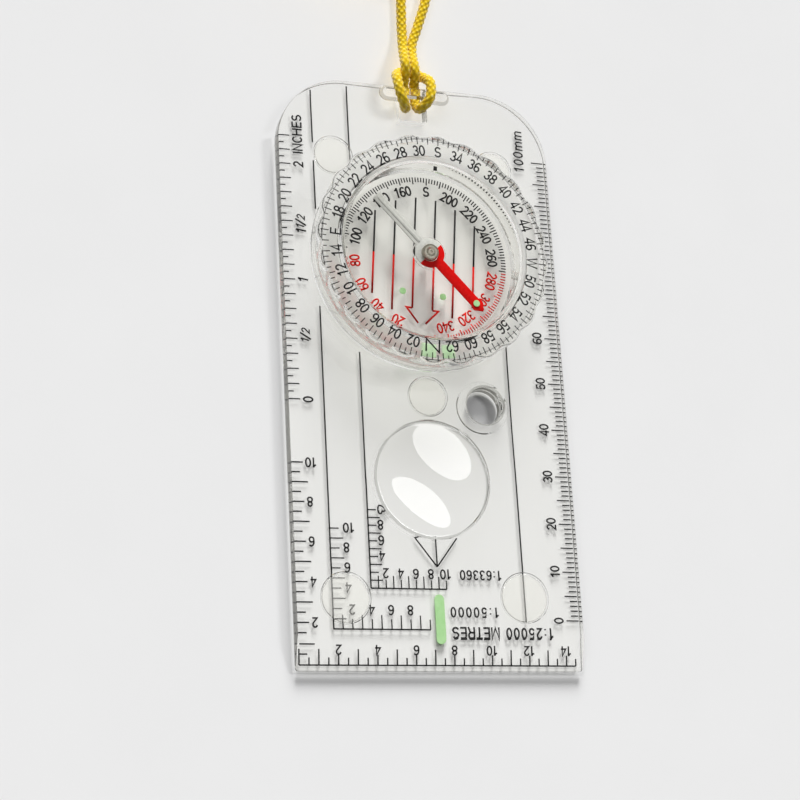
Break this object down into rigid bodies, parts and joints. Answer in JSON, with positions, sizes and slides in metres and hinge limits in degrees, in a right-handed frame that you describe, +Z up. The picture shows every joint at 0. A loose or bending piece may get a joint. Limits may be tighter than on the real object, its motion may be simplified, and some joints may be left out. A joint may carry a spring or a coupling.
{
  "type": "baseplate compass",
  "caption": "Baseplate compass: clear plate with map scales, magnifier, turning liquid capsule, swinging needle and neck lanyard.",
  "frame": {"origin": "on the surface that the compass rests on, under the middle of the baseplate", "axes": "+Y along the baseplate towards the lanyard end, +Z up; the direction of travel is -Y"},
  "size_m": [0.06, 0.1787, 0.0184],
  "materials": {
    "clear_acrylic": "clear moulded acrylic, polished faces",
    "clear_silicone": "clear soft silicone, satin",
    "luminous_green": "phosphorescent paint, matt",
    "needle_paint": "gloss paint, red north half and grey-white south half",
    "nickel_brass": "turned, nickel plated",
    "hard_steel": "ground",
    "bearing_jewel": "polished",
    "yellow_cord": "braided nylon",
    "black_rubber": "matt band",
    "printing_ink": "screen-printed ink, black, and red over the card's north half"
  },
  "bodies": {
    "base": {"baseplate": "clear_acrylic", "magnifier_lens": "clear_acrylic", "foot_upper_left": "clear_silicone", "foot_upper_right": "clear_silicone", "foot_centre": "clear_silicone", "foot_lower_left": "clear_silicone", "foot_lower_right": "clear_silicone", "travel_lume_bar": "luminous_green", "lanyard_hitch": "yellow_cord", "lanyard_left_strand": "yellow_cord", "lanyard_right_strand": "yellow_cord", "lanyard_coil": "yellow_cord", "lanyard_knot": "yellow_cord", "coil_tie": "black_rubber"},
    "dial": {"bezel": "clear_acrylic", "bezel_lume_left": "luminous_green", "bezel_lume_right": "luminous_green", "bezel_retaining_ring": "clear_acrylic", "capsule_cup": "clear_acrylic", "capsule_cover": "clear_acrylic", "filler_plug": "clear_silicone", "pivot_pin": "hard_steel", "orienting_lume_left": "luminous_green", "orienting_lume_right": "luminous_green"},
    "needle": {"needle_bar": "needle_paint", "needle_hub": "clear_acrylic", "jewel_cap": "nickel_brass", "jewel_bearing": "bearing_jewel", "needle_lume_dot": "luminous_green"}
  },
  "joints": [
    {"name": "dial_turn", "type": "hinge", "parent": "base", "child": "dial", "pos_m": [0, 0.0228, 0], "axis": [0, 0, 1], "continuous": true},
    {"name": "needle_swing", "type": "hinge", "parent": "dial", "child": "needle", "pos_m": [0, 0.0228, 0], "axis": [0, 0, 1], "continuous": true}
  ]
}
